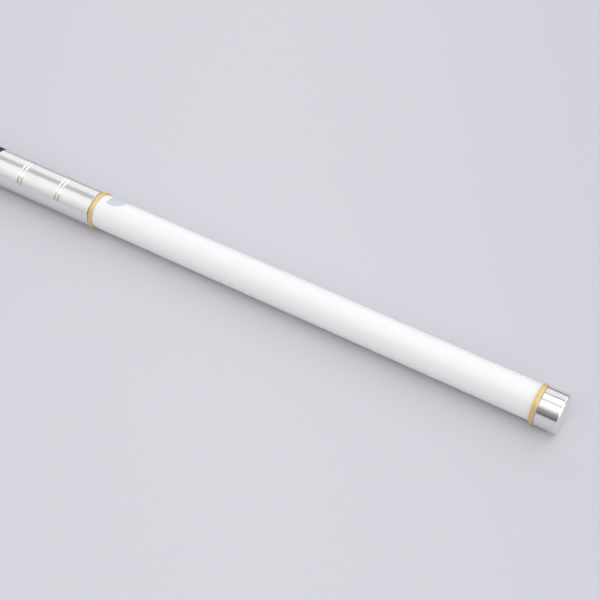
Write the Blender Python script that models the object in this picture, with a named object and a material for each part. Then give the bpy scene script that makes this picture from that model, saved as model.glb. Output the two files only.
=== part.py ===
"""A telescoping white cane, collapsed. It lies along X, with its butt cap towards +X and its tip towards -X.

Every place along the cane is a distance from the butt cap's end face, towards the tip. Lengths are in metres.
"""

import math

import bmesh
import bpy
from mathutils import Matrix

MM = 0.001

# Clearances, and how finely the round pieces are faceted.
GAP = 0.3 * MM
TAPE_GAP = 0.05 * MM
FACETS = 32
FINE_FACETS = 24
FINE_BELOW = 9.0 * MM
ARC_STEPS = 4
WELD = 0.001 * MM
SHARP_ANGLE = math.radians(35)

# Tubes, from the handle inwards.
HANDLE_RADIUS, HANDLE_WALL = 12.7 * MM, 1.2 * MM
SECTION_RADII = (10.0 * MM, 7.8 * MM, 5.7 * MM)
SECTION_WALLS = (1.0 * MM, 0.9 * MM, 0.8 * MM)

# What shows on the outside, in order from the butt end.
CAP_LENGTH, CAP_RADIUS, CAP_EDGE = 15.2 * MM, 13.8 * MM, 1.1 * MM
RING_WIDTH, RING_RADIUS, RING_CROWN = 3.2 * MM, 14.0 * MM, 0.25 * MM
RING_SPACING = 345.7 * MM
COLLAR_LENGTH, COLLAR_RADIUS = 89.6 * MM, 13.7 * MM
WIPER_LENGTH, WIPER_RADIUS, WIPER_EDGE = 8.4 * MM, 13.4 * MM, 1.6 * MM
FERRULE_LENGTH, FERRULE_WALL, FERRULE_EDGE = 13.0 * MM, 1.7 * MM, 0.6 * MM
SOCKET_LENGTH, SOCKET_WALL, SOCKET_EDGE = 19.0 * MM, 2.2 * MM, 1.5 * MM
TIP_LENGTH, TIP_RADIUS = 30.0 * MM, 12.0 * MM

CAP_RING_START = CAP_LENGTH + GAP
COLLAR_RING_START = CAP_RING_START + RING_SPACING
COLLAR_START = COLLAR_RING_START + RING_WIDTH + GAP
WIPER_START = COLLAR_START + COLLAR_LENGTH + GAP
FERRULE_STARTS = [WIPER_START + WIPER_LENGTH + GAP + n * (FERRULE_LENGTH + GAP) for n in range(2)]
SOCKET_START = FERRULE_STARTS[-1] + FERRULE_LENGTH + GAP
TIP_START = SOCKET_START + SOCKET_LENGTH + GAP
TOTAL_LENGTH = TIP_START + TIP_LENGTH

# The cane lies on the flats of its two trim rings.
AXIS_HEIGHT = RING_RADIUS * math.cos(math.pi / FACETS)

# Butt end: a cup with a stud that goes into a plug in the tube.
CAP_FLOOR = 2.3 * MM
STUD_RADIUS, STUD_END = 4.0 * MM, 16.0 * MM
HANDLE_START = CAP_FLOOR + GAP
PLUG_START, PLUG_LENGTH, PLUG_RIBS, PLUG_RIB_DEPTH = 4.0 * MM, 18.0 * MM, 3, 0.4 * MM
O_RING_RADIUS, O_RING_THICKNESS, O_RING_SIDES = 8.0 * MM, 1.1 * MM, 8

# Lock: the collar turns on a threaded body and squeezes a split collet on to the first section.
SLEEVE_BORE = HANDLE_RADIUS + GAP
TUBE_IN_COLLAR = 27.3 * MM
HANDLE_END = COLLAR_START + TUBE_IN_COLLAR
BODY_INSIDE = 20.0 * MM
BODY_BORE = SECTION_RADII[0] + GAP
THREAD_RADIUS, THREAD_DEPTH, THREAD_PITCH, THREAD_TURNS = 12.4 * MM, 0.5 * MM, 2.2 * MM, 10
THREAD_BORE = THREAD_RADIUS + GAP
WASHER_THICKNESS = 1.0 * MM
COLLET_LENGTH, COLLET_STRAIGHT, COLLET_TIP_RADIUS = 18.0 * MM, 3.5 * MM, 11.1 * MM
WIPER_SPIGOT = 6.0 * MM
WIPER_SPIGOT_RADIUS = 12.0 * MM
WIPER_CLEARANCE = 0.4 * MM
WIPER_BORE = SECTION_RADII[0] + WIPER_CLEARANCE
SLIT = math.radians(8)
GROOVE_PAIRS = (28.0 * MM, 62.0 * MM)
GROOVE_SPACING, GROOVE_WIDTH, GROOVE_DEPTH = 3.0 * MM, 1.3 * MM, 0.4 * MM

# Each section starts a little further in than the one round it, and slides on a long guide bush.
SECTION_STARTS = (30.0 * MM, 34.0 * MM, 38.0 * MM)
BUSH_LENGTHS = (32.0 * MM, 60.0 * MM, 60.0 * MM)
LIP_THICKNESS = 1.2 * MM
GRIP_RING_WIDTH = 2.4 * MM
BAND_LENGTH, BAND_THICKNESS = 150.0 * MM, 0.15 * MM

# Rolling tip, on a screw through the socket's floor.
SOCKET_FLOOR = 5.6 * MM
SCREW_RADIUS, SCREW_HEAD_RADIUS, SCREW_HEAD = 2.0 * MM, 4.2 * MM, 3.2 * MM
SCREW_SLOT_WIDTH, SCREW_SLOT_DEPTH = 1.2 * MM, 1.2 * MM
NUT_THICKNESS, NUT_CORNER_RADIUS, NUT_SIDES = 3.3 * MM, 4.4 * MM, 6
BEARING_RADIUS, BEARING_LENGTH = 4.7 * MM, 5.0 * MM
BEARING_STARTS = (1.8 * MM, 17.8 * MM)
TIP_LAND_RADIUS = 3.2 * MM
TIP_NOSE, TIP_NOSE_SWEEP, TIP_HEEL = 8.0 * MM, 80, 3.5 * MM

# Blank label, stuck over the tube's top and far side. Angles are round the axis, from +Z towards -Y.
LABEL_LENGTH, LABEL_THICKNESS = 12.0 * MM, 0.12 * MM
LABEL_TO_RING = 6.0 * MM
LABEL_FROM, LABEL_TO = math.radians(-80), math.radians(5)
LABEL_FACETS = 12

# name: (colour, roughness, metallic)
FINISHES = {
    "white_lacquer": ((0.86, 0.86, 0.85), 0.12, 0.0),
    "polished_aluminium": ((0.83, 0.83, 0.84), 0.14, 1.0),
    "gold_trim": ((0.83, 0.62, 0.26), 0.18, 1.0),
    "black_rubber": ((0.02, 0.02, 0.021), 0.6, 0.0),
    "black_plastic": ((0.03, 0.03, 0.032), 0.4, 0.0),
    "acetal": ((0.75, 0.74, 0.7), 0.45, 0.0),
    "brass": ((0.72, 0.56, 0.28), 0.3, 1.0),
    "steel": ((0.6, 0.6, 0.61), 0.3, 1.0),
    "red_tape": ((0.6, 0.02, 0.02), 0.3, 0.0),
    "label_film": ((0.55, 0.62, 0.72), 0.4, 0.0),
    "white_nylon": ((0.8, 0.8, 0.78), 0.35, 0.0),
}


def clear_scene():
    for old in list(bpy.data.objects):
        bpy.data.objects.remove(old, do_unlink=True)


def finish(piece, look):
    """Gives the piece its own material in one of the named finishes."""
    colour, roughness, metallic = FINISHES[look]
    material = bpy.data.materials.new(f"{piece.name}_{look}")
    material.use_nodes = True
    shader = material.node_tree.nodes["Principled BSDF"]
    shader.inputs["Base Color"].default_value = (*colour, 1.0)
    shader.inputs["Roughness"].default_value = roughness
    shader.inputs["Metallic"].default_value = metallic
    material.diffuse_color = (*colour, 1.0)
    piece.data.materials.append(material)


def object_of(name, mesh, start, look):
    """Makes an object of the bmesh, with its origin on the cane's axis, start from the butt end."""
    data = bpy.data.meshes.new(name)
    mesh.to_mesh(data)
    mesh.free()
    data.shade_smooth()
    data.set_sharp_from_angle(angle=SHARP_ANGLE)
    piece = bpy.data.objects.new(name, data)
    piece.location = (TOTAL_LENGTH / 2 - start, 0.0, AXIS_HEIGHT)
    bpy.context.scene.collection.objects.link(piece)
    finish(piece, look)
    return piece


def turned(name, outline, look, facets=None, sweep=math.tau, first=None):
    """Spins an outline of (along, radius) points round the cane's axis, into one closed solid.

    An outline with both ends on the axis makes a solid piece, and any other makes a ring. A ring whose
    sweep stops short of a full turn is split, and starts at the angle first from +Z towards -Y.
    """
    if facets is None:
        facets = FACETS if max(radius for _, radius in outline) > FINE_BELOW else FINE_FACETS
    start = min(along for along, _ in outline)
    whole = sweep == math.tau
    mesh = bmesh.new()
    points = [mesh.verts.new((start - along, 0.0, radius)) for along, radius in outline]
    if whole:
        ring = outline[0][1] > 0.0
        pairs = zip(points, points[1:] + points[:1]) if ring else zip(points, points[1:])
        profile = [mesh.edges.new(pair) for pair in pairs]
    else:
        profile = [mesh.faces.new(points)]
        profile += list(mesh.edges)
    half_facet = math.pi / facets
    turn = Matrix.Rotation(half_facet if first is None else first, 3, "X")
    bmesh.ops.rotate(mesh, verts=points, matrix=turn)
    bmesh.ops.spin(
        mesh, geom=points + profile, axis=(1, 0, 0), cent=(0, 0, 0), angle=sweep, steps=facets, use_merge=whole
    )
    bmesh.ops.remove_doubles(mesh, verts=mesh.verts, dist=WELD)
    bmesh.ops.recalc_face_normals(mesh, faces=mesh.faces)
    return object_of(name, mesh, start, look)


def arc(along, radius, size, begin, end, steps=ARC_STEPS):
    """Points on an arc of this size round (along, radius). Angle 0 is outwards, and 90 is towards the tip."""
    angles = [math.radians(begin + (end - begin) * n / steps) for n in range(steps + 1)]
    return [(along + size * math.sin(a), radius + size * math.cos(a)) for a in angles]


def box_section(start, end, inner, outer):
    return [(start, inner), (start, outer), (end, outer), (end, inner)]


def cut_by(piece, cutter, operation):
    """Applies a hidden cutter to the piece with a Boolean."""
    cutter.hide_render = True
    cutter.display_type = "WIRE"
    modifier = piece.modifiers.new(cutter.name, "BOOLEAN")
    modifier.operation = operation
    modifier.object = cutter


def crown_points(start, width, radius, rise):
    """The outside of a ring that bulges by rise between its two edges."""
    steps = 2 * ARC_STEPS
    places = [n / steps for n in range(steps + 1)]
    return [(start + width * t, radius - rise * (2 * t - 1) ** 2) for t in places]


def add_trim_ring(name, start):
    inner = HANDLE_RADIUS + GAP
    outline = [(start, inner)]
    outline += crown_points(start, RING_WIDTH, RING_RADIUS, RING_CROWN)
    outline += [(start + RING_WIDTH, inner)]
    turned(name, outline, "gold_trim")


def add_butt_cap():
    outline = [(0.0, 0.0)]
    outline += arc(CAP_EDGE, CAP_RADIUS - CAP_EDGE, CAP_EDGE, -90, 0)
    outline += [
        (CAP_LENGTH, CAP_RADIUS),
        (CAP_LENGTH, SLEEVE_BORE),
        (CAP_FLOOR, SLEEVE_BORE),
        (CAP_FLOOR, STUD_RADIUS),
        (STUD_END, STUD_RADIUS),
        (STUD_END, 0.0),
    ]
    turned("butt_cap", outline, "polished_aluminium")


def add_butt_plug():
    """A ribbed plug: the ribs bite into the tube, and the bore takes the cap's stud."""
    outer = HANDLE_RADIUS - HANDLE_WALL - GAP
    outline = [(PLUG_START, STUD_RADIUS + GAP)]
    rib = PLUG_LENGTH / PLUG_RIBS
    for n in range(PLUG_RIBS):
        place = PLUG_START + n * rib
        outline += [(place, outer - PLUG_RIB_DEPTH), (place + rib / 2, outer)]
    outline += [
        (PLUG_START + PLUG_LENGTH, outer - PLUG_RIB_DEPTH),
        (PLUG_START + PLUG_LENGTH, STUD_RADIUS + GAP),
    ]
    turned("butt_plug", outline, "black_plastic")
    middle = (CAP_FLOOR + PLUG_START) / 2
    last = 360 - 360 / O_RING_SIDES
    outline = arc(middle, O_RING_RADIUS, O_RING_THICKNESS / 2, 0, last, steps=O_RING_SIDES - 1)
    turned("cap_o_ring", outline, "black_rubber")


def add_handle_tube():
    outline = box_section(HANDLE_START, HANDLE_END, HANDLE_RADIUS - HANDLE_WALL, HANDLE_RADIUS)
    turned("handle_tube", outline, "white_lacquer")


def add_label():
    inner = HANDLE_RADIUS + TAPE_GAP
    end = COLLAR_RING_START - LABEL_TO_RING
    outline = box_section(end - LABEL_LENGTH, end, inner, inner + LABEL_THICKNESS)
    turned("blank_label", outline, "label_film", LABEL_FACETS, LABEL_TO - LABEL_FROM, LABEL_FROM)


def groove_points(middle, radius):
    """One V groove in the collar's outside."""
    half = GROOVE_WIDTH / 2
    return [(middle - half, radius), (middle, radius - GROOVE_DEPTH), (middle + half, radius)]


def lock_places():
    """Where the thread, the washer and the collet begin, and where the collet ends."""
    thread = HANDLE_END + GAP
    washer = thread + THREAD_PITCH * THREAD_TURNS + GAP
    collet = washer + WASHER_THICKNESS + GAP
    return thread, washer, collet, collet + COLLET_LENGTH


def add_lock_body():
    """A threaded bush, fixed in the handle tube's mouth."""
    thread = lock_places()[0]
    spigot = HANDLE_RADIUS - HANDLE_WALL - GAP
    outline = [(HANDLE_END - BODY_INSIDE, BODY_BORE), (HANDLE_END - BODY_INSIDE, spigot), (thread, spigot)]
    for n in range(THREAD_TURNS):
        root = thread + n * THREAD_PITCH
        outline += [(root, THREAD_RADIUS - THREAD_DEPTH), (root + THREAD_PITCH / 2, THREAD_RADIUS)]
    end = thread + THREAD_TURNS * THREAD_PITCH
    outline += [(end, THREAD_RADIUS - THREAD_DEPTH), (end, BODY_BORE)]
    turned("lock_body", outline, "brass")


def add_collet():
    _, washer, collet, collet_end = lock_places()
    outline = box_section(washer, washer + WASHER_THICKNESS, BODY_BORE + GAP, THREAD_RADIUS - GAP)
    turned("thrust_washer", outline, "steel")
    outline = [
        (collet, BODY_BORE),
        (collet, THREAD_RADIUS),
        (collet + COLLET_STRAIGHT, THREAD_RADIUS),
        (collet_end, COLLET_TIP_RADIUS),
        (collet_end, BODY_BORE),
    ]
    turned("lock_collet", outline, "acetal", sweep=math.tau - SLIT, first=SLIT / 2)


def add_lock_collar():
    """The grip sleeve: two pairs of grooves outside, and inside a thread bore and a taper for the collet."""
    thread, _, collet, collet_end = lock_places()
    end = COLLAR_START + COLLAR_LENGTH
    mouth = end - WIPER_SPIGOT - GAP
    outline = [(COLLAR_START, COLLAR_RADIUS)]
    for pair in GROOVE_PAIRS:
        for side in (-0.5, 0.5):
            outline += groove_points(COLLAR_START + pair + side * GROOVE_SPACING, COLLAR_RADIUS)
    outline += [
        (end, COLLAR_RADIUS),
        (end, WIPER_SPIGOT_RADIUS + GAP),
        (mouth, WIPER_SPIGOT_RADIUS + GAP),
        (mouth, COLLET_TIP_RADIUS + GAP),
        (collet_end, COLLET_TIP_RADIUS + GAP),
        (collet + COLLET_STRAIGHT, THREAD_BORE),
        (thread, THREAD_BORE),
        (thread, SLEEVE_BORE),
        (COLLAR_START, SLEEVE_BORE),
    ]
    turned("lock_collar", outline, "polished_aluminium")


def add_wiper():
    """The rubber ring that closes the collar's mouth and wipes the first section."""
    spigot = WIPER_START - WIPER_SPIGOT
    outline = [(spigot, WIPER_BORE), (spigot, WIPER_SPIGOT_RADIUS), (WIPER_START, WIPER_SPIGOT_RADIUS)]
    outline += [(WIPER_START, WIPER_RADIUS)]
    outline += arc(WIPER_START + WIPER_LENGTH - WIPER_EDGE, WIPER_RADIUS - WIPER_EDGE, WIPER_EDGE, 0, 90)
    outline += [(WIPER_START + WIPER_LENGTH, WIPER_BORE)]
    turned("collar_wiper", outline, "black_rubber")


def section_end(index):
    """Where a section's tube stops: inside its ferrule, or for the last one on the tip socket's floor."""
    if index < len(FERRULE_STARTS):
        lip = FERRULE_STARTS[index] + FERRULE_LENGTH - LIP_THICKNESS
        return lip - GRIP_RING_WIDTH - 2 * GAP
    return SOCKET_START + SOCKET_LENGTH - SOCKET_FLOOR - GAP


def add_section(index):
    """A section's tube, with the split bush at its inner end that guides it in the tube round it."""
    name = f"section_{index + 1}"
    radius, start = SECTION_RADII[index], SECTION_STARTS[index]
    outline = box_section(start, section_end(index), radius - SECTION_WALLS[index], radius)
    turned(f"{name}_tube", outline, "white_lacquer")
    around = [HANDLE_RADIUS - HANDLE_WALL]
    around += [r - wall for r, wall in zip(SECTION_RADII, SECTION_WALLS)]
    outline = box_section(start, start + BUSH_LENGTHS[index], radius + GAP, around[index] - GAP)
    turned(f"{name}_bush", outline, "acetal", sweep=math.tau - SLIT, first=SLIT / 2)


def add_ferrule(index):
    """The mouth piece on a section, with a rubber ring behind its lip that grips the next section."""
    name = f"section_{index + 1}"
    start = FERRULE_STARTS[index]
    end = start + FERRULE_LENGTH
    lip = end - LIP_THICKNESS
    bore = SECTION_RADII[index] + GAP
    outer = bore + FERRULE_WALL
    lip_bore = SECTION_RADII[index + 1] + GAP
    outline = [(start, bore), (start, outer - FERRULE_EDGE), (start + FERRULE_EDGE, outer)]
    outline += arc(end - FERRULE_EDGE, outer - FERRULE_EDGE, FERRULE_EDGE, 0, 90)
    outline += [(end, lip_bore), (lip, lip_bore), (lip, bore)]
    turned(f"{name}_ferrule", outline, "polished_aluminium")
    ring_end = lip - GAP
    outline = box_section(ring_end - GRIP_RING_WIDTH, ring_end, lip_bore, bore - GAP)
    turned(f"{name}_grip_ring", outline, "black_rubber")


def add_red_band():
    radius = SECTION_RADII[-1] + TAPE_GAP
    end = SOCKET_START - 2 * GAP
    turned("red_band", box_section(end - BAND_LENGTH, end, radius, radius + BAND_THICKNESS), "red_tape")


def add_tip_socket():
    bore = SECTION_RADII[-1] + GAP
    outer = bore + SOCKET_WALL
    end = SOCKET_START + SOCKET_LENGTH
    floor = end - SOCKET_FLOOR
    hole = SCREW_RADIUS + GAP
    outline = [(SOCKET_START, bore)]
    outline += arc(SOCKET_START + SOCKET_EDGE, outer - SOCKET_EDGE, SOCKET_EDGE, -90, 0)
    outline += arc(end - SOCKET_EDGE, outer - SOCKET_EDGE, SOCKET_EDGE, 0, 90)
    outline += [(end, hole), (floor, hole), (floor, bore)]
    turned("tip_socket", outline, "black_plastic")


def add_tip_screw():
    """A slotted screw through the rolling tip, and the hex nut that holds it inside the last section."""
    nut_end = SOCKET_START + SOCKET_LENGTH - SOCKET_FLOOR - GAP
    nut_start = nut_end - NUT_THICKNESS
    head = TIP_START + BEARING_STARTS[1] + BEARING_LENGTH + GAP
    outline = [
        (nut_start, 0.0),
        (nut_start, SCREW_RADIUS),
        (head, SCREW_RADIUS),
        (head, SCREW_HEAD_RADIUS),
        (head + SCREW_HEAD, SCREW_HEAD_RADIUS),
        (head + SCREW_HEAD, 0.0),
    ]
    screw = turned("tip_screw", outline, "steel")
    mesh = bmesh.new()
    size = (2 * SCREW_SLOT_DEPTH, SCREW_SLOT_WIDTH, 3 * SCREW_HEAD_RADIUS)
    bmesh.ops.create_cube(mesh, size=1.0)
    bmesh.ops.scale(mesh, vec=size, verts=mesh.verts)
    cut_by(screw, object_of("tip_screw_slot", mesh, head + SCREW_HEAD, "steel"), "DIFFERENCE")
    outline = box_section(nut_start, nut_end, SCREW_RADIUS + GAP, NUT_CORNER_RADIUS)
    nut = turned("tip_nut", outline, "steel")
    outline = [(nut_start - GAP, 0.0), (nut_start - GAP, NUT_CORNER_RADIUS)]
    outline += [(nut_end + GAP, NUT_CORNER_RADIUS), (nut_end + GAP, 0.0)]
    cut_by(nut, turned("tip_nut_flats", outline, "steel", NUT_SIDES), "INTERSECT")


def add_rolling_tip():
    """A white nylon roller with a plain bearing in each end of its bore."""
    end = TIP_START + TIP_LENGTH
    land_start = TIP_START + BEARING_STARTS[0] + BEARING_LENGTH + GAP
    land_end = TIP_START + BEARING_STARTS[1] - GAP
    bore = BEARING_RADIUS + GAP
    outline = [(TIP_START, bore)]
    outline += arc(TIP_START + TIP_HEEL, TIP_RADIUS - TIP_HEEL, TIP_HEEL, -90, 0)
    outline += arc(end - TIP_NOSE, TIP_RADIUS - TIP_NOSE, TIP_NOSE, 0, TIP_NOSE_SWEEP, steps=2 * ARC_STEPS)
    outline += [(end, bore), (land_end, bore), (land_end, TIP_LAND_RADIUS)]
    outline += [(land_start, TIP_LAND_RADIUS), (land_start, bore)]
    turned("rolling_tip", outline, "white_nylon")
    for name, place in zip(("inner", "outer"), BEARING_STARTS):
        start = TIP_START + place
        outline = box_section(start, start + BEARING_LENGTH, SCREW_RADIUS + GAP, BEARING_RADIUS)
        turned(f"tip_bearing_{name}", outline, "brass")


def main():
    clear_scene()
    add_butt_cap()
    add_butt_plug()
    add_trim_ring("cap_trim_ring", CAP_RING_START)
    add_handle_tube()
    add_label()
    add_trim_ring("collar_trim_ring", COLLAR_RING_START)
    add_lock_body()
    add_collet()
    add_lock_collar()
    add_wiper()
    for index in range(len(SECTION_RADII)):
        add_section(index)
    for index in range(len(FERRULE_STARTS)):
        add_ferrule(index)
    add_red_band()
    add_tip_socket()
    add_tip_screw()
    add_rolling_tip()


main()
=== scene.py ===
import math

import bmesh
import bpy
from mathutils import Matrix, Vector


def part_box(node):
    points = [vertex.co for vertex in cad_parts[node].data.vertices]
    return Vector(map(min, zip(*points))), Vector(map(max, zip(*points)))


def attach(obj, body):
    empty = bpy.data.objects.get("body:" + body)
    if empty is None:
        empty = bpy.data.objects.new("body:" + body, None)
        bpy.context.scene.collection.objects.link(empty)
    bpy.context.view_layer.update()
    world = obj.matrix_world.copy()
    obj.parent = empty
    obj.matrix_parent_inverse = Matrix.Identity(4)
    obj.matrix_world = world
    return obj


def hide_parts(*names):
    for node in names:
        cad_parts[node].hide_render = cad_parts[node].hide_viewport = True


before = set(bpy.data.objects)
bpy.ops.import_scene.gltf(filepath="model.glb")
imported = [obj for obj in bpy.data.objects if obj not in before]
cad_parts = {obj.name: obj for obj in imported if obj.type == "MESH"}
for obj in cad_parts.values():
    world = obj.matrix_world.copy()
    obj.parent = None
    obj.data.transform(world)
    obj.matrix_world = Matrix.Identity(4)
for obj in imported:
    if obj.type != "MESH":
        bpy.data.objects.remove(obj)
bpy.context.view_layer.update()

MM = 0.001
SEGMENTS = 128
WELD = 0.001 * MM
SHARP_ANGLE = math.radians(32)

# A fillet is an arc of this many faces, with a short straight run before and after it.
FILLET_STEPS = 5
FLAT_RUN = 0.15 * MM

# The cane lies along X with its butt cap towards +X. Places along it are X positions, read from the frame.
RING_LOW, RING_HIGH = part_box("cap_trim_ring")
AXIS_HEIGHT = (RING_LOW.z + RING_HIGH.z) / 2
RING_RADIUS = (RING_HIGH.z - RING_LOW.z) / 2
RING_MIDDLE = (RING_LOW.x + RING_HIGH.x) / 2

# Camera: the view swings round the cane's middle from straight in front, towards the butt end.
VIEW_SWING = math.radians(30.24)
VIEW_ELEVATION = math.radians(49.27)
VIEW_DISTANCE = 0.8915
LOOK_BACK = 176.7 * MM
LOOK_ASIDE = -1.3 * MM
SENSOR_WIDTH = 36.0
LENS = 78.0


def span(node):
    """The X positions of a node's butt end and tip end."""
    low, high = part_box(node)
    return high.x, low.x


def radii(node):
    """The largest and smallest radius of a node's corners, about the cane's axis."""
    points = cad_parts[node].data.vertices
    found = [math.hypot(p.co.y, p.co.z - AXIS_HEIGHT) for p in points]
    return max(found), min(found)


# ---------------------------------------------------------------- node trees


class Signal:
    """A socket in a node tree, for use in arithmetic."""

    def __init__(self, maker, socket):
        self.maker, self.socket = maker, socket

    def __add__(self, other):
        return self.maker.maths("ADD", self, other)

    def __radd__(self, other):
        return self.maker.maths("ADD", other, self)

    def __sub__(self, other):
        return self.maker.maths("SUBTRACT", self, other)

    def __rsub__(self, other):
        return self.maker.maths("SUBTRACT", other, self)

    def __mul__(self, other):
        return self.maker.maths("MULTIPLY", self, other)

    def __rmul__(self, other):
        return self.maker.maths("MULTIPLY", other, self)

    def __truediv__(self, other):
        return self.maker.maths("DIVIDE", self, other)

    def __rtruediv__(self, other):
        return self.maker.maths("DIVIDE", other, self)

    def __neg__(self):
        return self.maker.maths("MULTIPLY", self, -1.0)

    def __pow__(self, other):
        return self.maker.maths("POWER", self, other)

    def __gt__(self, other):
        return self.maker.maths("GREATER_THAN", self, other)

    def __abs__(self):
        return self.maker.maths("ABSOLUTE", self)


class Maker:
    """Adds nodes to one tree."""

    def __init__(self, tree):
        self.tree = tree

    def node(self, kind, settings=None, sockets=None, output=0):
        """Adds a node: first its settings, then the values or links of its sockets. Gives one output."""
        made = self.tree.nodes.new(kind)
        for name, value in (settings or {}).items():
            setattr(made, name, value)
        for name, value in (sockets or {}).items():
            self.feed(made.inputs[name], value)
        return Signal(self, made.outputs[output]) if made.outputs else made

    def feed(self, socket, value):
        """Links a signal to a socket, or sets the socket to a plain value."""
        if isinstance(value, Signal):
            self.tree.links.new(value.socket, socket)
        else:
            socket.default_value = value

    def maths(self, operation, *values):
        return self.node("ShaderNodeMath", {"operation": operation}, dict(enumerate(values)))

    def limited(self, value):
        """Keeps a value between 0 and 1."""
        return self.maths("MINIMUM", self.maths("MAXIMUM", value, 0.0), 1.0)

    def step(self, value, start, end):
        """Rises smoothly from 0 to 1 as value goes from start to end."""
        settings = {"interpolation_type": "SMOOTHSTEP"}
        sockets = {"Value": value, "From Min": start, "From Max": end}
        return self.node("ShaderNodeMapRange", settings, sockets)

    def band(self, value, start, end, soft):
        """Is 1 between start and end, and 0 outside them, with soft edges."""
        return self.step(value, start - soft, start + soft) * self.step(value, end + soft, end - soft)

    def vector(self, x, y, z):
        return self.node("ShaderNodeCombineXYZ", sockets={"X": x, "Y": y, "Z": z})

    def parts(self, vector):
        """The x, y and z of a vector."""
        first = self.node("ShaderNodeSeparateXYZ", sockets={"Vector": vector})
        return [Signal(self, output) for output in first.socket.node.outputs]

    def noise(self, place, scale, detail, roughness=0.5):
        sockets = {"Vector": place, "Scale": scale, "Detail": detail, "Roughness": roughness}
        return self.node("ShaderNodeTexNoise", sockets=sockets)

    def mixed(self, factor, first, second):
        """A colour between two colours."""
        settings = {"data_type": "RGBA"}
        return self.node("ShaderNodeMix", settings, {0: factor, 6: first, 7: second}, output=2)


# ---------------------------------------------------------------- materials


class Finish(Maker):
    """A material. It knows how far a point is along the cane, how far out, and round which way."""

    def __init__(self, name):
        self.material = bpy.data.materials.new(name)
        self.material.use_nodes = True
        super().__init__(self.material.node_tree)
        self.shader = self.tree.nodes["Principled BSDF"]
        self.place = self.node("ShaderNodeTexCoord", output="Object")
        self.along, self.across, height = self.parts(self.place)
        self.up = height - AXIS_HEIGHT

    def set(self, **values):
        """Sets the shader's sockets: an underscore stands for a space."""
        for name, value in values.items():
            self.feed(self.shader.inputs[name.replace("_", " ")], value)

    def radius(self):
        return self.maths("SQRT", self.across * self.across + self.up * self.up)

    def turn(self):
        """The angle round the cane's axis, from its top."""
        return self.maths("ARCTAN2", self.across, self.up)

    def bump(self, height, distance, strength, normal=None):
        sockets = {"Strength": strength, "Distance": distance, "Height": height}
        if normal is not None:
            sockets["Normal"] = normal
        return self.node("ShaderNodeBump", sockets=sockets)

    def turning(self, lines_per_mm, detail=2.0):
        """The fine rings that a lathe leaves, on a wall and on an end face alike."""
        where = self.vector((self.along + self.radius()) * lines_per_mm / MM, 0.0, 0.0)
        return self.noise(where, 1.0, detail, 0.6)

    def drawn(self, streaks, length_mm, detail=3.0):
        """Long rub marks that run along the cane."""
        turn = self.turn()
        sideways = self.maths("SINE", turn) * streaks
        upwards = self.maths("COSINE", turn) * streaks
        return self.noise(self.vector(self.along / (length_mm * MM), sideways, upwards), 1.0, detail, 0.6)


def white_lacquer(name, rubbed):
    """Gloss white lacquer with a trace of orange peel, and rub marks where a tube slides in another."""
    finish = Finish(name)
    cloud = finish.noise(finish.place, 60.0, 2.0)
    marks = finish.step(finish.drawn(9.0, 60.0, 5.0), 0.6, 0.78) * rubbed
    white = finish.mixed(cloud, (0.84, 0.841, 0.837, 1.0), (0.86, 0.859, 0.853, 1.0))
    peel = finish.noise(finish.place, 900.0, 2.0, 0.4)
    finish.set(
        Base_Color=finish.mixed(marks * 0.5, white, (0.62, 0.62, 0.63, 1.0)),
        Roughness=0.25 + 0.04 * cloud + 0.25 * marks,
        Coat_Weight=0.3 - 0.2 * marks,
        Coat_Roughness=0.09,
        Coat_IOR=1.5,
        Specular_IOR_Level=0.35,
        Normal=finish.bump(peel, 0.01 * MM, 0.12),
    )
    return finish.material


def polished_aluminium():
    """Turned and polished aluminium: fine rings, a little haze, and a few handling marks."""
    finish = Finish("polished aluminium")
    haze = finish.noise(finish.place, 45.0, 4.0, 0.55)
    rings = finish.turning(5.0, 3.0)
    coarse = finish.turning(0.7, 2.0)
    scratches = finish.step(finish.noise(finish.place, 260.0, 6.0, 0.75), 0.62, 0.7)
    hand_polish = finish.noise(finish.place, 130.0, 2.0)
    metal = finish.mixed(haze, (0.815, 0.812, 0.796, 1.0), (0.885, 0.882, 0.866, 1.0))
    turned_wall = finish.bump(coarse, 0.02 * MM, 0.12, finish.bump(rings, 0.004 * MM, 0.5))
    finish.set(
        Base_Color=finish.mixed(scratches * 0.15, metal, (0.7, 0.71, 0.73, 1.0)),
        Metallic=1.0,
        Roughness=0.1 + 0.1 * haze + 0.06 * rings + 0.08 * scratches,
        Normal=finish.bump(hand_polish, 0.12 * MM, 0.6, turned_wall),
    )
    return finish.material


def gold_trim():
    """Gold anodised aluminium, with turning rings and a deeper tone where the film is thick."""
    finish = Finish("gold trim")
    tone = finish.noise(finish.place, 120.0, 3.0)
    rings = finish.turning(3.5, 2.0)
    grain = finish.noise(finish.place, 950.0, 2.0, 0.6)
    film = finish.limited(0.5 * tone + 0.5 * grain)
    finish.set(
        Base_Color=finish.mixed(film, (0.68, 0.475, 0.195, 1.0), (0.91, 0.705, 0.35, 1.0)),
        Metallic=0.7,
        Roughness=0.38 + 0.18 * tone,
        Normal=finish.bump(grain, 0.06 * MM, 0.5, finish.bump(rings, 0.01 * MM, 0.4)),
    )
    return finish.material


def black_rubber():
    """Moulded rubber with a fine grain and a dusty bloom."""
    finish = Finish("black rubber")
    grain = finish.noise(finish.place, 2600.0, 3.0, 0.6)
    bloom = finish.noise(finish.place, 140.0, 4.0, 0.6)
    finish.set(
        Base_Color=finish.mixed(bloom, (0.012, 0.012, 0.013, 1.0), (0.035, 0.035, 0.037, 1.0)),
        Roughness=0.5 + 0.25 * bloom,
        Specular_IOR_Level=0.35,
        Normal=finish.bump(grain, 0.03 * MM, 0.35),
    )
    return finish.material


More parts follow.
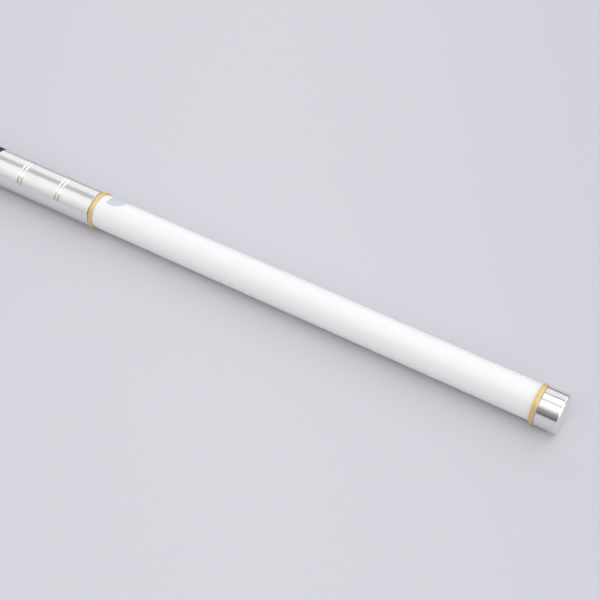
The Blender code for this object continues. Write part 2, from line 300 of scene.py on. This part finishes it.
def black_plastic():
    """Moulded black plastic with a spark-eroded grain, and paler where it is worn."""
    finish = Finish("black plastic")
    grain = finish.noise(finish.place, 1800.0, 2.0, 0.5)
    wear = finish.step(finish.noise(finish.place, 90.0, 5.0, 0.7), 0.55, 0.75)
    finish.set(
        Base_Color=finish.mixed(wear, (0.022, 0.022, 0.024, 1.0), (0.05, 0.05, 0.053, 1.0)),
        Roughness=0.36 + 0.18 * wear,
        Normal=finish.bump(grain, 0.02 * MM, 0.4),
    )
    return finish.material


def acetal():
    """Natural acetal: waxy off-white, with slide marks along the cane."""
    finish = Finish("acetal")
    cloud = finish.noise(finish.place, 80.0, 3.0)
    slide = finish.drawn(14.0, 12.0)
    finish.set(
        Base_Color=finish.mixed(cloud, (0.70, 0.69, 0.64, 1.0), (0.78, 0.77, 0.73, 1.0)),
        Roughness=0.36 + 0.2 * slide,
        Normal=finish.bump(slide, 0.01 * MM, 0.3),
    )
    return finish.material


def turned_metal(name, dark, light, roughness):
    """Plain turned metal for the small fittings."""
    finish = Finish(name)
    tone = finish.noise(finish.place, 200.0, 4.0, 0.6)
    finish.set(
        Base_Color=finish.mixed(tone, dark, light),
        Metallic=1.0,
        Roughness=roughness + 0.15 * tone,
        Normal=finish.bump(finish.turning(4.0), 0.01 * MM, 0.5),
    )
    return finish.material


def red_tape():
    """Red reflective sheeting: a fine honeycomb of cells under a clear gloss film."""
    finish = Finish("red reflective tape")
    girth = finish.vector(finish.along, finish.turn() * radii("red_band")[0], 0.0)
    honeycomb = {"Vector": girth, "Scale": 420.0, "Randomness": 0.15}
    cells = finish.node("ShaderNodeTexVoronoi", {"feature": "DISTANCE_TO_EDGE"}, honeycomb)
    walls = finish.step(cells, 0.09, 0.04)
    scuff = finish.step(finish.drawn(12.0, 30.0, 5.0), 0.62, 0.8)
    red = finish.mixed(walls, (0.62, 0.012, 0.012, 1.0), (0.42, 0.008, 0.008, 1.0))
    finish.set(
        Base_Color=finish.mixed(scuff * 0.4, red, (0.5, 0.2, 0.19, 1.0)),
        Roughness=0.3 + 0.2 * walls + 0.2 * scuff,
        Coat_Weight=1.0,
        Coat_Roughness=0.08,
        Normal=finish.bump(walls, 0.02 * MM, 0.4),
    )
    return finish.material


def label_film():
    """A blank pale blue paper-backed film, slightly crinkled where it wraps the tube."""
    finish = Finish("label film")
    fibre = finish.noise(finish.place, 1500.0, 3.0, 0.6)
    crinkle = finish.drawn(5.0, 25.0)
    finish.set(
        Base_Color=finish.mixed(fibre, (0.54, 0.56, 0.62, 1.0), (0.6, 0.625, 0.68, 1.0)),
        Roughness=0.34 + 0.12 * fibre,
        Normal=finish.bump(crinkle, 0.05 * MM, 0.3),
    )
    return finish.material


def white_nylon():
    """A moulded nylon roller: milky, with rolling scuffs round its girth."""
    finish = Finish("white nylon")
    cloud = finish.noise(finish.place, 90.0, 3.0)
    scuffs = finish.turning(1.6, 4.0)
    outside = radii("rolling_tip")[0]
    girth = finish.step(finish.radius(), outside - 1.5 * MM, outside - 0.2 * MM)
    dirt = finish.step(scuffs, 0.55, 0.72) * girth * cloud
    white = finish.mixed(cloud, (0.78, 0.78, 0.75, 1.0), (0.84, 0.84, 0.82, 1.0))
    finish.set(
        Base_Color=finish.mixed(dirt, white, (0.5, 0.49, 0.46, 1.0)),
        Roughness=0.32 + 0.35 * dirt,
        Subsurface_Weight=0.15,
        Subsurface_Radius=(0.004, 0.004, 0.003),
        Normal=finish.bump(scuffs, 0.03 * MM, 0.4),
    )
    return finish.material


# ---------------------------------------------------------------- shapes


def rounded(corners):
    """The outline through (x, radius, fillet) corners. The straight run on both sides of a fillet makes the
    flat walls beside it shade as flat."""
    outline = []
    for n, (x, radius, fillet) in enumerate(corners):
        here = Vector((x, radius))
        if fillet == 0.0:
            outline.append(here)
            continue
        before = (Vector(corners[n - 1][:2]) - here).normalized()
        after = (Vector(corners[(n + 1) % len(corners)][:2]) - here).normalized()
        half = before.angle(after) / 2
        run = fillet / math.tan(half)
        centre = here + (before + after).normalized() * (fillet / math.sin(half))
        first, last = here + before * run, here + after * run
        flat = min(fillet / 2, FLAT_RUN)
        outline.append(first + before * flat)
        for step in range(FILLET_STEPS + 1):
            share = step / FILLET_STEPS
            outline.append(centre + (first - centre).slerp(last - centre, share) * fillet)
        outline.append(last + after * flat)
    return [(point.x, point.y) for point in outline]


def shape(name, mesh, material):
    """Makes an object at the origin from a bmesh in the cane's own frame."""
    data = bpy.data.meshes.new(name)
    mesh.to_mesh(data)
    mesh.free()
    data.shade_smooth()
    data.set_sharp_from_angle(angle=SHARP_ANGLE)
    data.materials.append(material)
    piece = bpy.data.objects.new(name, data)
    bpy.context.scene.collection.objects.link(piece)
    return piece


def closed_up(mesh):
    """Merges the seam and the poles, and turns the faces outwards."""
    bmesh.ops.remove_doubles(mesh, verts=mesh.verts, dist=WELD)
    bmesh.ops.recalc_face_normals(mesh, faces=mesh.faces)


def lathe(outline):
    """Spins an (x, radius) outline round the cane's axis. It is a ring unless both ends are on the axis."""
    mesh = bmesh.new()
    points = [mesh.verts.new((x, 0.0, AXIS_HEIGHT + radius)) for x, radius in outline]
    ring = outline[0][1] > 0.0
    pairs = zip(points, points[1:] + points[:1]) if ring else zip(points, points[1:])
    edges = [mesh.edges.new(pair) for pair in pairs]
    centre = (0.0, 0.0, AXIS_HEIGHT)
    bmesh.ops.spin(mesh, geom=points + edges, axis=(1, 0, 0), cent=centre, angle=math.tau,
                   steps=SEGMENTS, use_merge=True)
    closed_up(mesh)
    return mesh


def place(piece, body, slot, node):
    """Puts a piece on its body, in place of its CAD node."""
    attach(piece, body)
    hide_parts(node)


def turned(name, corners, material, body, slot, node):
    """A lathe-turned piece, from the corners of its outline."""
    piece = shape(name, lathe(rounded(corners)), material)
    place(piece, body, slot, node)


def tube(name, node, edge, material, body, slot):
    """A plain tube with broken edges, the size of its node."""
    butt, tip = span(node)
    outer, inner = radii(node)
    corners = [(butt, inner, edge), (butt, outer, edge), (tip, outer, edge), (tip, inner, edge)]
    turned(name, corners, material, body, slot, node)


def trim_ring(name, node, material):
    """A crowned ring: its outside bulges between two small shoulders."""
    butt, tip = span(node)
    inner = radii(node)[1]
    outer = RING_RADIUS - 0.01 * MM
    shoulder, rise = 0.35 * MM, 0.32 * MM
    steps = 14
    foot = outer - rise - shoulder
    outline = [(butt, inner), (butt, foot)]
    for n in range(steps + 1):
        share = n / steps
        crown = rise * (2 * share - 1) ** 4
        outline.append((butt + (tip - butt) * share, outer - crown))
    outline += [(tip, foot), (tip, inner)]
    place(shape(name, lathe(outline), material), "handle", "gold_trim", node)


def butt_cap(material):
    """The cap: a cup whose skirt meets the gold ring, with a stud in its middle that goes into the plug."""
    butt, tip = span("butt_cap")
    outer = radii("butt_cap")[0]
    edge, wall, floor_thickness, stud = 1.1 * MM, 0.8 * MM, 2.3 * MM, 4.0 * MM
    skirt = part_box("cap_trim_ring")[1].x + 0.3 * MM
    bore, inner_floor = outer - wall, butt - floor_thickness
    corners = [
        (butt, 0.0, 0.0),
        (butt, outer, edge),
        (skirt, outer, 0.25 * MM),
        (skirt, bore, 0.2 * MM),
        (inner_floor, bore, 0.3 * MM),
        (inner_floor, stud, 0.3 * MM),
        (tip, stud, 0.4 * MM),
        (tip, 0.0, 0.0),
    ]
    turned("butt_cap_polished", corners, material, "handle", "polished_aluminium", "butt_cap")


# ---------------------------------------------------------------- lock collar

COLLAR_POINTS = 420
FIRST_GROOVE = 28.0 * MM
GROOVE_PITCH = 34.0 * MM
PAIR_SPACING = 3.0 * MM
GROOVE_WIDTH = 1.5 * MM
GROOVE_DEPTH = 0.4 * MM
COLLAR_EDGE = 0.5 * MM


def collar_tree(sizes, counts, material):
    """A node tree that turns the grooved collar from a grid: one way along its outline, the other way round.

    The outline runs along the outside from the butt end, over the grooves, then back along the bore.
    """
    tree = bpy.data.node_groups.new("grooved collar", "GeometryNodeTree")
    tree.interface.new_socket("Geometry", in_out="INPUT", socket_type="NodeSocketGeometry")
    for name in sizes:
        tree.interface.new_socket(name, in_out="INPUT", socket_type="NodeSocketFloat")
    for name in counts:
        tree.interface.new_socket(name, in_out="INPUT", socket_type="NodeSocketInt")
    tree.interface.new_socket("Geometry", in_out="OUTPUT", socket_type="NodeSocketGeometry")
    make = Maker(tree)
    inputs = make.node("NodeGroupInput").socket.node.outputs
    get = {socket.name: Signal(make, socket) for socket in inputs if socket.name}
    outside, around = get["Points Along"], get["Points Round"]
    grid_sockets = {"Size X": 1.0, "Size Y": 1.0, "Vertices X": outside + 3, "Vertices Y": around + 1}
    grid = make.node("GeometryNodeMeshGrid", sockets=grid_sockets)
    grid_x, grid_y, _ = make.parts(make.node("GeometryNodeInputPosition"))
    number = (grid_x + 0.5) * (outside + 2)
    angle = (grid_y + 0.5) * math.tau

    # After the outside's points come two in the bore, at its far end and at its near end, and then one that
    # closes the outline.
    past_outside = number > outside - 0.5
    back_at_near_end = number > outside + 0.5
    closing = number > outside + 1.5
    in_bore = past_outside - closing
    length = get["Length"]
    distance = make.limited(number / (outside - 1)) * (1 - back_at_near_end) * length

    # How far a point is from the nearest groove, where grooves come in pairs at an even pitch.
    pitch = get["Groove Pitch"]
    from_first = distance - get["First Groove"] + pitch * 0.5
    from_pair = make.maths("FLOORED_MODULO", from_first, pitch) - pitch * 0.5
    from_groove = abs(abs(from_pair) - get["Pair Spacing"] * 0.5)
    dip = make.limited(1 - from_groove / get["Groove Width"] * 2)
    groove = get["Groove Depth"] * (1 - (1 - dip) ** 2)

    # Both ends are rounded over.
    edge = get["Edge"]
    from_end = make.maths("MINIMUM", distance, length - distance)
    inside = make.maths("MAXIMUM", edge - from_end, 0.0)
    drop = edge - make.maths("SQRT", make.maths("MAXIMUM", edge * edge - inside * inside, 0.0))
    outer = get["Radius"] - groove - drop
    bore = get["Near Bore"] + (get["Far Bore"] - get["Near Bore"]) * distance / length
    radius = outer * (1 - in_bore) + bore * in_bore

    spot = make.vector(
        get["Near End"] - distance,
        radius * make.maths("SINE", angle),
        radius * make.maths("COSINE", angle) + get["Axis Height"],
    )
    placed = make.node("GeometryNodeSetPosition", sockets={"Geometry": grid, "Position": spot})
    merged = make.node("GeometryNodeMergeByDistance", sockets={"Geometry": placed, "Distance": WELD})
    real = make.node("GeometryNodeRealizeInstances", sockets={"Geometry": merged})
    done = make.node("GeometryNodeSetMaterial", sockets={"Geometry": real, "Material": material})
    make.node("NodeGroupOutput", sockets={"Geometry": done})
    return tree


def from_tree(name, tree, values):
    """Runs a node tree on an empty mesh, and gives the result as a plain mesh."""
    seed = bpy.data.objects.new(name, bpy.data.meshes.new(name))
    bpy.context.scene.collection.objects.link(seed)
    modifier = seed.modifiers.new("shape", "NODES")
    modifier.node_group = tree
    for item in tree.interface.items_tree:
        if item.in_out == "INPUT" and item.name in values:
            modifier[item.identifier] = values[item.name]
    graph = bpy.context.evaluated_depsgraph_get()
    data = bpy.data.meshes.new_from_object(seed.evaluated_get(graph), depsgraph=graph)
    bpy.data.objects.remove(seed)
    return data


def lock_collar(material):
    """The collar that is turned to lock the sections, with two pairs of grip grooves."""
    butt, tip = span("lock_collar")
    mouth_wall = 1.1 * MM
    sizes = {
        "Near End": butt,
        "Length": butt - tip,
        "Radius": radii("lock_collar")[0],
        "Edge": COLLAR_EDGE,
        "Near Bore": radii("cap_trim_ring")[1],
        "Far Bore": radii("collar_wiper")[0] - mouth_wall,
        "First Groove": FIRST_GROOVE,
        "Groove Pitch": GROOVE_PITCH,
        "Pair Spacing": PAIR_SPACING,
        "Groove Width": GROOVE_WIDTH,
        "Groove Depth": GROOVE_DEPTH,
        "Axis Height": AXIS_HEIGHT,
    }
    counts = {"Points Along": COLLAR_POINTS, "Points Round": SEGMENTS}
    tree = collar_tree(sizes, counts, material)
    mesh = bmesh.new()
    mesh.from_mesh(from_tree("lock_collar_outline", tree, {**sizes, **counts}))
    closed_up(mesh)
    piece = shape("lock_collar_polished", mesh, material)
    place(piece, "collar", "polished_aluminium", "lock_collar")


def wiper(material):
    """The rubber ring in the collar's mouth: a spigot inside it, and a ribbed flange outside."""
    butt, tip = span("collar_wiper")
    outer, inner = radii("collar_wiper")
    mouth = span("lock_collar")[1] - 0.3 * MM
    length = mouth - tip
    spigot = outer - 1.4 * MM
    rib = 0.5 * MM
    corners = [
        (butt, inner, 0.2 * MM),
        (butt, spigot, 0.3 * MM),
        (mouth, spigot, 0.0),
        (mouth, outer, 0.4 * MM),
    ]
    for share in (0.38, 0.62):
        middle = mouth - share * length
        corners += [
            (middle + rib, outer, 0.15 * MM),
            (middle + rib / 2, outer - rib, 0.15 * MM),
            (middle - rib / 2, outer - rib, 0.15 * MM),
            (middle - rib, outer, 0.15 * MM),
        ]
    corners += [(tip, outer, 1.6 * MM), (tip, inner, 0.3 * MM)]
    turned("collar_wiper_ring", corners, material, "collar", "black_rubber", "collar_wiper")


# ---------------------------------------------------------------- sections and tip


def ferrule(index, material):
    """A section's mouth piece: a sleeve with a fine groove round it, and a lip that closes on the next."""
    node = f"section_{index}_ferrule"
    butt, tip = span(node)
    outer, lip = radii(node)
    bore = radii(f"section_{index}_tube")[0] + 0.3 * MM
    groove, depth, lip_width = butt - 2.6 * MM, 0.3 * MM, 1.2 * MM
    corners = [
        (butt, bore, 0.2 * MM),
        (butt, outer, 0.6 * MM),
        (groove + depth, outer, 0.1 * MM),
        (groove, outer - depth, 0.1 * MM),
        (groove - depth, outer, 0.1 * MM),
        (tip, outer, 0.6 * MM),
        (tip, lip, 0.2 * MM),
        (tip + lip_width, lip, 0.2 * MM),
        (tip + lip_width, bore, 0.2 * MM),
    ]
    turned(f"{node}_polished", corners, material, f"section_{index}", "polished_aluminium", node)


def tip_socket(material):
    """The plastic cup on the last section's end, with three grooves round it and a hole for the screw."""
    butt, tip = span("tip_socket")
    outer, hole = radii("tip_socket")
    bore = outer - 2.2 * MM
    floor_top = tip + 5.6 * MM
    first_groove, groove_pitch, depth = butt - 4.0 * MM, 2.4 * MM, 0.4 * MM
    half_width, half_bottom = 0.7 * MM, 0.4 * MM
    corners = [(butt, bore, 0.3 * MM), (butt, outer, 1.5 * MM)]
    for n in range(3):
        middle = first_groove - groove_pitch * n
        corners += [
            (middle + half_width, outer, 0.2 * MM),
            (middle + half_bottom, outer - depth, 0.15 * MM),
            (middle - half_bottom, outer - depth, 0.15 * MM),
            (middle - half_width, outer, 0.2 * MM),
        ]
    corners += [
        (tip, outer, 1.5 * MM),
        (tip, hole, 0.3 * MM),
        (floor_top, hole, 0.3 * MM),
        (floor_top, bore, 0.3 * MM),
    ]
    turned("tip_socket_moulded", corners, material, "section_3", "black_plastic", "tip_socket")


def rolling_tip(material):
    """The roller: a rounded nose, and a bore with a land in its middle between the two bearings."""
    butt, tip = span("rolling_tip")
    outer, land = radii("rolling_tip")
    bore = 5.0 * MM
    land_butt, land_tip = butt - 7.1 * MM, butt - 17.5 * MM
    corners = [
        (butt, bore, 0.4 * MM),
        (butt, outer, 3.5 * MM),
        (tip, outer, 6.2 * MM),
        (tip, bore, 0.4 * MM),
        (land_tip, bore, 0.3 * MM),
        (land_tip, land, 0.3 * MM),
        (land_butt, land, 0.3 * MM),
        (land_butt, bore, 0.3 * MM),
    ]
    turned("rolling_tip_nylon", corners, material, "tip", "white_nylon", "rolling_tip")


def tip_screw(material):
    """The slotted screw that holds the rolling tip: a shank and a rounded head."""
    butt, tip = span("tip_screw")
    head_radius = radii("tip_screw")[0]
    shank, head = 2.0 * MM, 3.2 * MM
    slot_depth, slot_width = 1.2 * MM, 1.2 * MM
    corners = [
        (butt, 0.0, 0.0),
        (butt, shank, 0.4 * MM),
        (tip + head, shank, 0.2 * MM),
        (tip + head, head_radius, 0.2 * MM),
        (tip, head_radius, 0.7 * MM),
        (tip, 0.0, 0.0),
    ]
    piece = shape("tip_screw_slotted", lathe(rounded(corners)), material)
    mesh = bmesh.new()
    bmesh.ops.create_cube(mesh, size=1.0)
    bmesh.ops.scale(mesh, vec=(2 * slot_depth, slot_width, 12.0 * MM), verts=mesh.verts)
    bmesh.ops.translate(mesh, vec=(tip, 0.0, AXIS_HEIGHT), verts=mesh.verts)
    cutter = shape("slot_cutter", mesh, material)
    cut = piece.modifiers.new("slot", "BOOLEAN")
    cut.operation = "DIFFERENCE"
    cut.object = cutter
    graph = bpy.context.evaluated_depsgraph_get()
    data = bpy.data.meshes.new_from_object(piece.evaluated_get(graph), depsgraph=graph)
    piece.modifiers.clear()
    piece.data = data
    bpy.data.objects.remove(cutter)
    place(piece, "section_3", "steel", "tip_screw")


def label(material):
    """A blank film wrapped over the tube's top and far side, with one corner cut on the slant."""
    butt, tip = span("blank_label")
    low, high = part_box("blank_label")
    outer, inner = radii("blank_label")
    near = math.atan2(-low.y, high.z - AXIS_HEIGHT)
    far = -math.atan2(high.y, low.z - AXIS_HEIGHT)
    cut_angle, cut_length = math.radians(16), 5.0 * MM
    rows, columns = 40, 12
    mesh = bmesh.new()
    walls = []
    for radius in (inner, outer):
        wall = []
        for row in range(rows + 1):
            angle = near + (far - near) * row / rows
            slant = max(0.0, 1.0 - (near - angle) / cut_angle)
            start = butt - cut_length * slant
            y, z = -radius * math.sin(angle), AXIS_HEIGHT + radius * math.cos(angle)
            places = [start + (tip - start) * column / columns for column in range(columns + 1)]
            wall.append([mesh.verts.new((x, y, z)) for x in places])
        walls.append(wall)
        for here, beyond in zip(wall, wall[1:]):
            for n in range(columns):
                mesh.faces.new((here[n], here[n + 1], beyond[n + 1], beyond[n]))
    rim = [[wall[0], wall[-1], [row[0] for row in wall], [row[-1] for row in wall]] for wall in walls]
    for under, over in zip(*rim):
        for n in range(len(under) - 1):
            mesh.faces.new((under[n], under[n + 1], over[n + 1], over[n]))
    closed_up(mesh)
    place(shape("blank_label_film", mesh, material), "handle", "label_film", "blank_label")


def repaint(material, *nodes):
    """Gives CAD nodes that keep their shape a better material."""
    for node in nodes:
        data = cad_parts[node].data
        data.materials.clear()
        data.materials.append(material)


# ---------------------------------------------------------------- stage

FLOOR_SIZE = 80.0

# Painted light: a long oval pool of light is painted on the floor, in line with the view, a little paler than
# the rest.
PAINTED_POOL_MIDDLE_X = 0.03
PAINTED_POOL_HALF_WIDTH = 0.35
PAINTED_POOL_STRETCH = 5.0


def camera():
    """Looks down at the handle's middle from the front, swung a little towards the butt end."""
    data = bpy.data.cameras.new("camera")
    data.lens = LENS
    data.sensor_width = SENSOR_WIDTH
    eye = bpy.data.objects.new("camera", data)
    bpy.context.scene.collection.objects.link(eye)
    target = Vector((RING_MIDDLE - LOOK_BACK, LOOK_ASIDE, AXIS_HEIGHT))
    flat = math.cos(VIEW_ELEVATION)
    swing_x, swing_y = math.sin(VIEW_SWING), -math.cos(VIEW_SWING)
    towards = Vector((flat * swing_x, flat * swing_y, math.sin(VIEW_ELEVATION)))
    eye.location = target + towards * VIEW_DISTANCE
    eye.rotation_euler = (-towards).to_track_quat("-Z", "Y").to_euler()
    bpy.context.scene.camera = eye


def floor():
    """A pale sheet, slightly lilac, with a painted pool of light: a long oval in line with the view is a
    little paler.
    """
    mesh = bmesh.new()
    bmesh.ops.create_grid(mesh, x_segments=1, y_segments=1, size=FLOOR_SIZE)
    finish = Finish("pale floor")
    x = finish.along - PAINTED_POOL_MIDDLE_X
    y = finish.across
    aside = x * math.cos(VIEW_SWING) + y * math.sin(VIEW_SWING)
    onwards = (y * math.cos(VIEW_SWING) - x * math.sin(VIEW_SWING)) / PAINTED_POOL_STRETCH
    from_middle = aside * aside + onwards * onwards
    # Painted pool of light: the floor's colour is paler in the oval's middle and falls off to the plain,
    # darker tone further out.
    painted_pool_falloff = from_middle / (from_middle + PAINTED_POOL_HALF_WIDTH ** 2)
    finish.set(
        Base_Color=finish.mixed(painted_pool_falloff, (0.6, 0.593, 0.63, 1.0), (0.51, 0.505, 0.547, 1.0)),
        Roughness=0.75,
        Specular_IOR_Level=0.2,
    )
    shape("floor", mesh, finish.material)


def studio():
    """A bright, soft room: long ceiling panels, a pale back wall, a lamp past the butt end, and a darker
    patch where the viewer stands.

    A direction has a lean, in degrees from straight up towards the front, and a reach along the cane, from -1
    past its tip to 1 past its butt.
    """
    world = bpy.data.worlds.new("studio")
    world.use_nodes = True
    world.node_tree.nodes.clear()
    bpy.context.scene.world = world
    make = Maker(world.node_tree)
    reach, y, z = make.parts(make.node("ShaderNodeTexCoord", output="Generated"))
    lean = make.maths("ARCTAN2", -y, z) * math.degrees(1.0)

    tip_side = make.step(reach, -0.3, -0.36)
    butt_side = make.band(reach, 0.03, 0.4, 0.05)
    far_side = make.step(reach, 0.38, 0.43)
    viewer_side = make.band(reach, -0.3, 0.4, 0.06)
    past_tip_side = 1 - tip_side
    dimmed = 1 - 0.55 * far_side

    front_panel = make.band(lean, 11.0, 37.0, 1.5) * (1 - 0.64 * tip_side) * dimmed
    back_panel = make.band(lean, -32.0, -2.0, 1.5) * past_tip_side * dimmed
    end_panel = make.band(lean, -60.0, 37.0, 3.0) * butt_side * 0.85
    panels = 1.3 * make.maths("MAXIMUM", make.maths("MAXIMUM", front_panel, back_panel), end_panel)
    gap_between = 0.45 * make.band(lean, -2.0, 11.0, 1.5) * dimmed
    end_lamp = 2.5 * make.band(lean, 40.0, 63.0, 4.0) * make.step(reach, 0.5, 0.6)
    end_window = 3.6 * make.band(lean, -60.0, 40.0, 4.0) * make.step(reach, 0.8, 0.86)

    wall_low = make.band(lean, -78.0, -40.0, 4.0) * (1 - 0.3 * far_side)
    wall_top = make.band(lean, -40.0, -31.0, 4.0) * tip_side
    wall = (0.72 - 0.3 * tip_side) * (wall_low + wall_top)
    front_fade = 0.65 * make.step(lean, 34.0, 38.0) * make.step(lean, 68.0, 37.0) * past_tip_side
    low_front = 0.55 * make.step(lean, 58.0, 72.0) * (1 - make.step(lean, 90.0, 96.0)) * past_tip_side
    tip_glow = 0.42 * make.step(lean, 35.0, 38.0) * make.step(lean, 100.0, 38.0) * tip_side
    room = 0.24 + 0.36 * tip_side

    viewer = 0.88 * make.step(lean, 45.0, 84.0) * viewer_side
    skirting = 0.6 * make.step(lean, -80.0, -86.0)
    overhead = panels + gap_between + end_lamp + end_window
    sides = wall + front_fade + low_front + tip_glow
    light = (room + overhead + sides) * (1 - viewer) * (1 - skirting)
    cool, warm = (0.985, 0.99, 1.015, 1.0), (1.01, 0.99, 0.965, 1.0)
    tint = make.mixed(make.step(lean, 30.0, 60.0), cool, warm)
    background = make.node("ShaderNodeBackground", sockets={"Color": tint, "Strength": light})
    make.node("ShaderNodeOutputWorld", sockets={"Surface": background})


def main():
    bpy.context.scene.view_settings.view_transform = "Standard"
    camera()
    floor()
    studio()

    aluminium = polished_aluminium()
    gold = gold_trim()
    rubber = black_rubber()
    plastic = black_plastic()
    steel = turned_metal("steel", (0.42, 0.42, 0.44, 1.0), (0.6, 0.6, 0.62, 1.0), 0.22)
    brass = turned_metal("brass", (0.6, 0.42, 0.17, 1.0), (0.76, 0.57, 0.28, 1.0), 0.25)
    slider = acetal()
    outside_white = white_lacquer("white lacquer", 0.0)
    sliding_white = white_lacquer("white lacquer, rubbed", 1.0)

    butt_cap(aluminium)
    trim_ring("cap_trim_ring_gold", "cap_trim_ring", gold)
    tube("handle_tube_lacquered", "handle_tube", 0.2 * MM, outside_white, "handle", "white_lacquer")
    trim_ring("collar_trim_ring_gold", "collar_trim_ring", gold)
    label(label_film())
    lock_collar(aluminium)
    wiper(rubber)
    for index in (1, 2, 3):
        node, body = f"section_{index}_tube", f"section_{index}"
        tube(f"{node}_lacquered", node, 0.15 * MM, sliding_white, body, "white_lacquer")
    for index in (1, 2):
        ferrule(index, aluminium)
    tube("red_band_reflective", "red_band", 0.03 * MM, red_tape(), "section_3", "red_tape")
    tip_socket(plastic)
    tip_screw(steel)
    rolling_tip(white_nylon())

    repaint(plastic, "butt_plug")
    repaint(rubber, "cap_o_ring", "section_1_grip_ring", "section_2_grip_ring")
    repaint(steel, "thrust_washer", "tip_nut")
    repaint(brass, "lock_body", "tip_bearing_inner", "tip_bearing_outer")
    repaint(slider, "lock_collet", "section_1_bush", "section_2_bush", "section_3_bush")


main()
